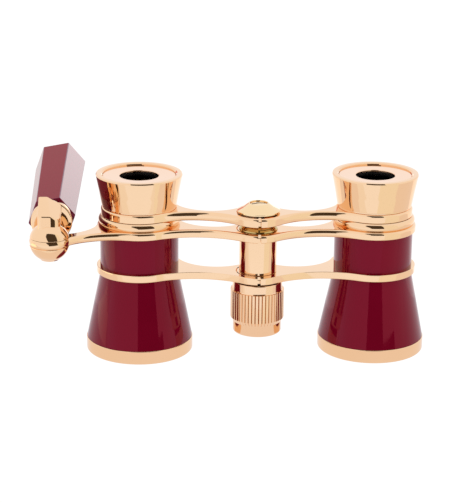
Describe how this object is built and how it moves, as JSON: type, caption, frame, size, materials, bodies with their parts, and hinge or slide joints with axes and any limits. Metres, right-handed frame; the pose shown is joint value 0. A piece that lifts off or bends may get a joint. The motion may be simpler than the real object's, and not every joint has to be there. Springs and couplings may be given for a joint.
{
  "type": "opera glasses",
  "caption": "Folding Galilean opera glasses with lacquered barrels, gold bridges, a centre focusing knob and a swivelling telescopic side handle.",
  "frame": {"origin": "on the centre hinge axis, in the plane that both objective rims stand on", "axes": "+Z along the hinge axis, from the objectives to the eyecups; +X from the left barrel to the right one; +Y from the hinge towards the barrels"},
  "size_m": [0.1123, 0.0717, 0.0513],
  "materials": {
    "rose_gold": "mirror-polished rose-gold plating over brass",
    "knob_gold": "polished rose-gold plating over fine upright grooves",
    "burgundy_lacquer": "high-gloss burgundy lacquer over metal",
    "grip_lacquer": "high-gloss burgundy lacquer on flat faces",
    "optical_glass": "polished, thinly coated optical glass",
    "black_anodised": "matt black anodising inside the light path",
    "black_nylon": "matt black bearing plastic",
    "spring_steel": "plain spring steel"
  },
  "bodies": {
    "centre": {"hinge_post": "rose_gold", "post_locknut": "rose_gold", "knob_washer": "black_nylon", "knob_retaining_ring": "spring_steel"},
    "left_half": {"left_objective_ring": "rose_gold", "left_objective_lens": "optical_glass", "left_objective_retainer": "black_anodised", "left_barrel_shell": "burgundy_lacquer", "left_barrel_collar": "rose_gold", "left_guide_bush": "black_nylon", "left_lower_arm": "rose_gold", "left_middle_arm": "rose_gold", "ball_base": "rose_gold", "pivot_screw": "rose_gold", "pivot_nut": "spring_steel", "wave_washer": "spring_steel"},
    "right_half": {"right_objective_ring": "rose_gold", "right_objective_lens": "optical_glass", "right_objective_retainer": "black_anodised", "right_barrel_shell": "burgundy_lacquer", "right_barrel_collar": "rose_gold", "right_guide_bush": "black_nylon", "right_lower_arm": "rose_gold", "right_middle_arm": "rose_gold"},
    "left_ocular": {"left_drawtube": "black_anodised", "left_upper_arm": "rose_gold", "left_eyecup": "rose_gold", "left_eye_disc": "rose_gold", "left_eyepiece_lens": "optical_glass", "left_eyepiece_retainer": "black_anodised"},
    "right_ocular": {"right_drawtube": "black_anodised", "right_upper_arm": "rose_gold", "right_eyecup": "rose_gold", "right_eye_disc": "rose_gold", "right_eyepiece_lens": "optical_glass", "right_eyepiece_retainer": "black_anodised"},
    "spindle": {"focus_spindle": "rose_gold", "dome_cap": "rose_gold", "cap_screw": "rose_gold"},
    "knob": {"focus_knob": "knob_gold", "knob_nut": "rose_gold", "knob_end_plug": "knob_gold"},
    "handle_knuckle": {"ball_cap": "rose_gold", "handle_bracket": "rose_gold", "handle_end_cap": "rose_gold", "handle_rod": "rose_gold"},
    "handle_slide": {"slide_tube": "rose_gold", "slide_tube_nut": "rose_gold"},
    "grip": {"handle_grip": "grip_lacquer", "grip_bushes": "black_nylon", "grip_far_plug": "rose_gold"}
  },
  "joints": [
    {"name": "fold_left", "type": "hinge", "parent": "centre", "child": "left_half", "pos_m": [0, 0, 0.024], "axis": [0, 0, 1], "range_deg": [-26, 2.5]},
    {"name": "fold_right", "type": "hinge", "parent": "centre", "child": "right_half", "pos_m": [0, 0, 0.024], "axis": [0, 0, 1], "range_deg": [-2.5, 26]},
    {"name": "focus_turn", "type": "hinge", "parent": "centre", "child": "knob", "pos_m": [0, 0, 0.015], "axis": [0, 0, 1], "range_deg": [0, 360]},
    {"name": "spindle_rise", "type": "slide", "parent": "centre", "child": "spindle", "axis": [0, 0, 1], "range_m": [0, 0.0045]},
    {"name": "left_ocular_rise", "type": "slide", "parent": "left_half", "child": "left_ocular", "axis": [0, 0, 1], "range_m": [0, 0.0045]},
    {"name": "right_ocular_rise", "type": "slide", "parent": "right_half", "child": "right_ocular", "axis": [0, 0, 1], "range_m": [0, 0.0045]},
    {"name": "handle_swivel", "type": "hinge", "parent": "left_half", "child": "handle_knuckle", "pos_m": [-0.0572, -0.0073, 0.036], "axis": [0, 0, 1], "range_deg": [-10, 225]},
    {"name": "handle_extend", "type": "slide", "parent": "handle_knuckle", "child": "handle_slide", "axis": [0, 1, 0], "range_m": [0, 0.036]},
    {"name": "grip_twist", "type": "hinge", "parent": "handle_slide", "child": "grip", "pos_m": [-0.0569, 0.03, 0.0395], "axis": [0, 1, 0], "continuous": true}
  ],
  "couplings": [
    {"joint": "fold_right", "follows": "fold_left", "ratio": -1},
    {"joint": "focus_turn", "follows": "spindle_rise", "rad_per_m": 1396.3},
    {"joint": "left_ocular_rise", "follows": "spindle_rise", "ratio": 1},
    {"joint": "right_ocular_rise", "follows": "spindle_rise", "ratio": 1}
  ]
}
